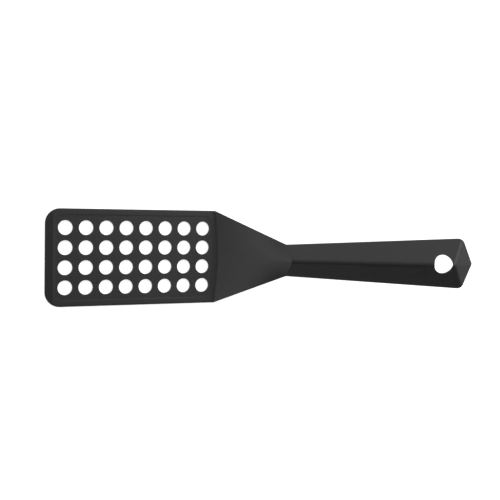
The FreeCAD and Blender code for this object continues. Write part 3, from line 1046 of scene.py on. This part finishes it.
@dataclass
class HandleCover:
    """The thin roof-shaped cover of the handle, in millimetres.

    Attributes:
        hull: The handle's closed form.
        rounding: Width of the softest edges' rounding.
        plan_radius: Radius of the two end corners in plan.
        hole_radius: Radius of the hang hole.
        hole_reach: Distance of the hang hole from the neck.
        rim_rounding: Rounding of the hole's rim and the lower edge.
        badge_room: Size of the badge's recess against the badge.
    """

    hull: Hull
    rounding: float = 3.65
    plan_radius: float = 6.0
    hole_radius: float = 7.1
    hole_reach: float = 120.2
    rim_rounding: float = 0.7
    badge_room: float = 1.004

    def round_form(self, piece: Object) -> None:
        """Round the form's edges, the ridge and the end corners the most.

        Args:
            piece: The closed form.
        """
        corners = {name: self.hull.form.place() @ point for name, point in zip(
            ("start_floor", "corner_floor", "tip_floor", "start_knee", "corner_knee", "tip_knee",
             "ridge_start", "ridge_end"), self.hull.corners(0.0, 0.0))}
        mesh = piece.data
        weight = mesh.attributes.new("bevel_weight_edge", "FLOAT", "EDGE")

        def named(vertex: int) -> str:
            """The name of the corner nearest to a vertex, on either side."""
            at = mesh.vertices[vertex].co / MM
            at.y = abs(at.y)
            return min(corners, key=lambda name: (corners[name] - at).length)

        for edge in mesh.edges:
            ends = {named(edge.vertices[0]), named(edge.vertices[1])}
            for pair, share in ROUNDING_SHARES.items():
                if ends == set(pair):
                    weight.data[edge.index].value = share
        bevel = piece.modifiers.new("rounding", "BEVEL")
        bevel.limit_method = "WEIGHT"
        bevel.width = self.rounding * MM
        bevel.segments = 8
        bake_modifiers(piece)

    def plan_cutter(self) -> Object:
        """All that lies outside the handle's plan, whose two end corners are round.

        Returns:
            The cutter.
        """
        hull, radius, clear, far = self.hull, self.plan_radius, PLAN_CLEARANCE, PLAN_MARGIN
        corner = Vector((hull.corner, hull.form.half_at(hull.corner)))
        along = Vector((1.0, hull.form.widening)).normalized()
        down = (Vector((hull.tip, 0.0)) - corner).normalized()
        outward = Vector((-along.y, along.x))
        last = Vector((-down.y, down.x))
        turn = outward.angle(last)
        reach = (radius + clear) * math.tan(turn / 2)
        middle = corner - along * reach - outward * radius
        first = math.atan2(outward.y, outward.x)
        angles = [first - turn * i / PLAN_STEPS for i in range(PLAN_STEPS + 1)]
        arc = [middle + (radius + clear) * Vector((math.cos(a), math.sin(a))) for a in angles]
        tip = Vector((hull.tip + clear / math.sin(math.atan2(-down.y, down.x)), 0.0))
        begin = arc[0] - along * far
        inside = [begin, *arc, tip]
        plan = [*inside, *[Vector((p.x, -p.y)) for p in reversed(inside[:-1])]]
        border = [Vector((begin.x, -far)), Vector((hull.tip + far, -far)),
                  Vector((hull.tip + far, far)), Vector((begin.x, far))]
        outline = [*plan, *border]
        count = len(outline)
        points = [(p.x, p.y, z) for z in PLAN_HEIGHTS for p in outline]
        faces = [tuple(range(count))[::-1], tuple(range(count, 2 * count))]
        faces += [(i, (i + 1) % count, count + (i + 1) % count, count + i) for i in range(count)]
        mesh = mesh_from("plan_cutter", points, faces, hull.form.place())
        return new_object("plan_cutter", mesh)

    def hole_cutter(self) -> Object:
        """The cylinder of the hang hole, square to the handle's slope.

        Returns:
            The cutter.
        """
        shape = bmesh.new()
        place = self.hull.form.place() @ Matrix.Translation((self.hole_reach, 0, HOLE_MIDDLE))
        bmesh.ops.create_cone(shape, cap_ends=True, segments=HOLE_SIDES,
                              radius1=self.hole_radius,
                              radius2=self.hole_radius, depth=HOLE_DEPTH, matrix=place)
        bmesh.ops.scale(shape, vec=(MM, MM, MM), verts=shape.verts)
        mesh = bpy.data.meshes.new("hole_cutter")
        shape.to_mesh(mesh)
        shape.free()
        return new_object("hole_cutter", mesh)

    def neck_cutter(self) -> Object:
        """The block that trims the cover to an upright face at the neck.

        Returns:
            The cutter.
        """
        x, far = self.hull.form.neck, NECK_MARGIN
        plan = [(x - far, -far), (x, -far), (x, far), (x - far, far)]
        points = [(*corner, z) for z in NECK_HEIGHTS for corner in plan]
        faces = [(0, 3, 2, 1), (4, 5, 6, 7), (0, 1, 5, 4), (1, 2, 6, 5), (2, 3, 7, 6), (3, 0, 4, 7)]
        return new_object("neck_cutter", mesh_from("neck_cutter", points, faces))

    def badge_cutter(self) -> Object:
        """The badge's own shape, a touch larger, for its recess.

        Returns:
            The cutter.
        """
        cutter = cad_copy("badge", "badge_cutter")
        vertices = cutter.data.vertices
        middle = sum((v.co for v in vertices), Vector()) / len(vertices)
        for vertex in vertices:
            vertex.co = middle + (vertex.co - middle) * self.badge_room
        return cutter

    def build(self, material: Material) -> None:
        """Make the cover and dress it.

        Args:
            material: The cover's finish.
        """
        piece = self.hull.solid("handle_cover_shell")
        self.round_form(piece)
        cut_with(piece, self.hull.solid("hollow", self.hull.form.wall, -1.0))
        cut_with(piece, self.neck_cutter())
        cut_with(piece, self.hole_cutter())
        cut_with(piece, self.badge_cutter())
        soften(piece, self.rim_rounding, 3, 50.0)
        cut_with(piece, self.plan_cutter())
        even_normals(piece)
        keep(piece, "handle_nylon", material, "handle_cover")


@dataclass
class HandleFittings:
    """What fits inside and on the cover: the tang, the strip, the screws and the blank badge.

    Attributes:
        form: The handle's form.
        first_screw: Distance of the first screw from the neck.
        head_face: Height of the screw heads above the handle's lower plane.
        drive_span: Length of the cross recess's arms, from end to end.
        drive_taper: Size of the recess's floor against its mouth.
        lead: Distance between threads.
        own_turn: How far each screw is turned against the one before, in radians.
    """

    form: HandleForm
    first_screw: float = 22.0
    screw_pitch: float = 36.0
    screw_count: int = 3
    head_face: float = 0.5
    head_radius: float = 2.8
    head_height: float = 1.5
    shank_radius: float = 1.5
    screw_length: float = 6.6
    drive_width: float = 0.8
    drive_span: float = 3.0
    drive_depth: float = 0.9
    drive_taper: float = 0.75
    threads: int = 7
    lead: float = 0.62
    thread_start: float = 0.25
    thread_depth: float = 0.32
    own_turn: float = 0.7

    def screw_mesh(self) -> Mesh:
        """One pan head screw with its threads and its cross recess, head down at the origin.

        Returns:
            The screw's mesh.
        """
        r, h = self.head_radius, self.head_height
        profile = [(0.0, 0.0), (1.2, 0.02), (r - 0.9, 0.12), (r - 0.4, 0.35), (r - 0.1, 0.75),
                   (r, h), (self.shank_radius, h)]
        root, first = self.shank_radius - self.thread_depth, h + self.thread_start
        for i in range(self.threads):
            low = first + i * self.lead
            profile += [(root, low), (self.shank_radius, low + self.lead / 2)]
        profile += [(root, first + self.threads * self.lead), (0.0, self.screw_length)]
        sides = SCREW_SIDES
        points: list[Point] = [(0.0, 0.0, profile[0][1])]
        for radius, up in profile[1:-1]:
            points += [(x, y, up) for x, y in circle(radius, sides)]
        points.append((0.0, 0.0, profile[-1][1]))
        faces: list[tuple[int, ...]] = []
        rings = len(profile) - 2
        for i in range(sides):
            j = (i + 1) % sides
            faces.append((0, 1 + j, 1 + i))
            for ring in range(rings - 1):
                a, b = 1 + ring * sides, 1 + (ring + 1) * sides
                faces.append((a + i, a + j, b + j, b + i))
            last = 1 + (rings - 1) * sides
            faces.append((last + i, last + j, len(points) - 1))
        screw = new_object("screw_blank", mesh_from("screw_blank", points, faces))
        w, s = self.drive_width / 2, self.drive_span / 2
        cross = [(w, w), (w, s), (-w, s), (-w, w), (-s, w), (-s, -w),
                 (-w, -w), (-w, -s), (w, -s), (w, -w), (s, -w), (s, w)]
        cut_with(screw, prism("cross", cross, low=-0.5, high=self.drive_depth,
                              top_scale=self.drive_taper))
        mesh = screw.data
        bpy.data.objects.remove(screw)
        return mesh

    def screw_row(self) -> NodeTree:
        """The tree that sets screws in a row.

        Returns:
            The tree, with named inputs for the row's sizes.
        """
        tree = start_tree("screw_row", {
            "Start": "Vector", "Step": "Vector", "Slope": "Float", "Count": "Int"})
        given = add_node(tree, "NodeGroupInput").outputs
        row = add_node(tree, "GeometryNodeMeshLine", {"mode": "OFFSET"}, {
            "Count": given["Count"], "Start Location": given["Start"], "Offset": given["Step"]})
        index = add_node(tree, "GeometryNodeInputIndex").outputs["Index"]
        own = add_node(tree, "ShaderNodeCombineXYZ", {}, {
            "Z": sum_of(tree, "MULTIPLY", index, self.own_turn)})
        lean = add_node(tree, "ShaderNodeCombineXYZ", {}, {"Y": given["Slope"]})
        spread = add_node(tree, "GeometryNodeInstanceOnPoints", {}, {
            "Points": row.outputs["Mesh"], "Instance": given["Geometry"],
            "Rotation": lean.outputs["Vector"]})
        turned = add_node(tree, "GeometryNodeRotateInstances", {}, {
            "Instances": spread.outputs["Instances"], "Rotation": own.outputs["Vector"]})
        end_tree(tree, turned.outputs["Instances"], given["Material"])
        return tree

    def build(self, nylon: Material, badge: Material, steel: Material) -> None:
        """Make every fitting and dress it.

        Args:
            nylon: Finish of the tang and the strip.
            badge: Finish of the badge.
            steel: Finish of the screws.
        """
        fittings = (
            ("head", "tang", self.form.neck - 0.4, 0.2, 2, "head_nylon", nylon),
            ("handle_back", "handle_strip", None, 0.35, 3, "handle_nylon", nylon),
            ("badge", "blank_badge", None, 0.2, 3, "badge_nylon", badge),
        )
        for node, name, keep_past, width, segments, slot, material in fittings:
            piece = cad_copy(node, name, keep_past)
            soften(piece, width, segments, 40.0)
            even_normals(piece)
            keep(piece, slot, material, node)

        place = self.form.place()
        start = place @ Vector((self.first_screw, 0, self.head_face)) * MM
        step = place.to_3x3() @ Vector((self.screw_pitch, 0, 0)) * MM
        screws = new_object("pan_head_screws", self.screw_mesh())
        apply_tree(screws, self.screw_row(), {
            "Start": tuple(start), "Step": tuple(step), "Slope": -math.radians(self.form.slope),
            "Count": self.screw_count, "Material": steel})
        shade(screws, 40.0)
        keep(screws, "screw_steel", steel, "handle_screws")


@dataclass(frozen=True)
class BlackZinc:
    """Zinc-plated steel with a black passivation: a dark, faintly olive metal sheen.

    Attributes:
        name: The material's name.
        colour: The plating's colour, sRGB hex.
        roughness: How dull the plating is.
        grain_mm: Size of the plating's mottling.
    """

    name: str
    colour: str = "4a4b4a"
    roughness: float = 0.36
    grain_mm: float = 0.5

    def material(self) -> Material:
        """Build the node tree.

        Returns:
            The material.
        """
        material = bpy.data.materials.new(self.name)
        tree = blank_tree(material)
        dull = roughness_between(tree, speckle(tree, self.grain_mm, 2.0),
                                 self.roughness - 0.06, self.roughness + 0.1)
        end_material(tree, {"Base Color": linear(self.colour), "Metallic": 1.0, "Roughness": dull})
        return material


def main() -> None:
    """Build the studio and every piece of the spatula."""
    logging.basicConfig(level=logging.INFO, format="%(name)s %(message)s")
    studio = Studio()
    studio.camera()
    studio.build()
    form = HandleForm()
    nylon = MouldedNylon("nylon_66_satin_moulded").material()
    grained = MouldedNylon("nylon_66_spark_eroded_moulded", surface=Surface.GRAINED).material()
    badge = MouldedNylon("nylon_66_matt_moulded", colour="19191a", bloom="1c1c1d",
                         roughness=0.62).material()
    steel = BlackZinc("steel_black_zinc_plated").material()
    Head(form).build(grained)
    HandleCover(Hull(form)).build(nylon)
    HandleFittings(form).build(nylon, badge, steel)


if __name__ == "__main__":
    main()
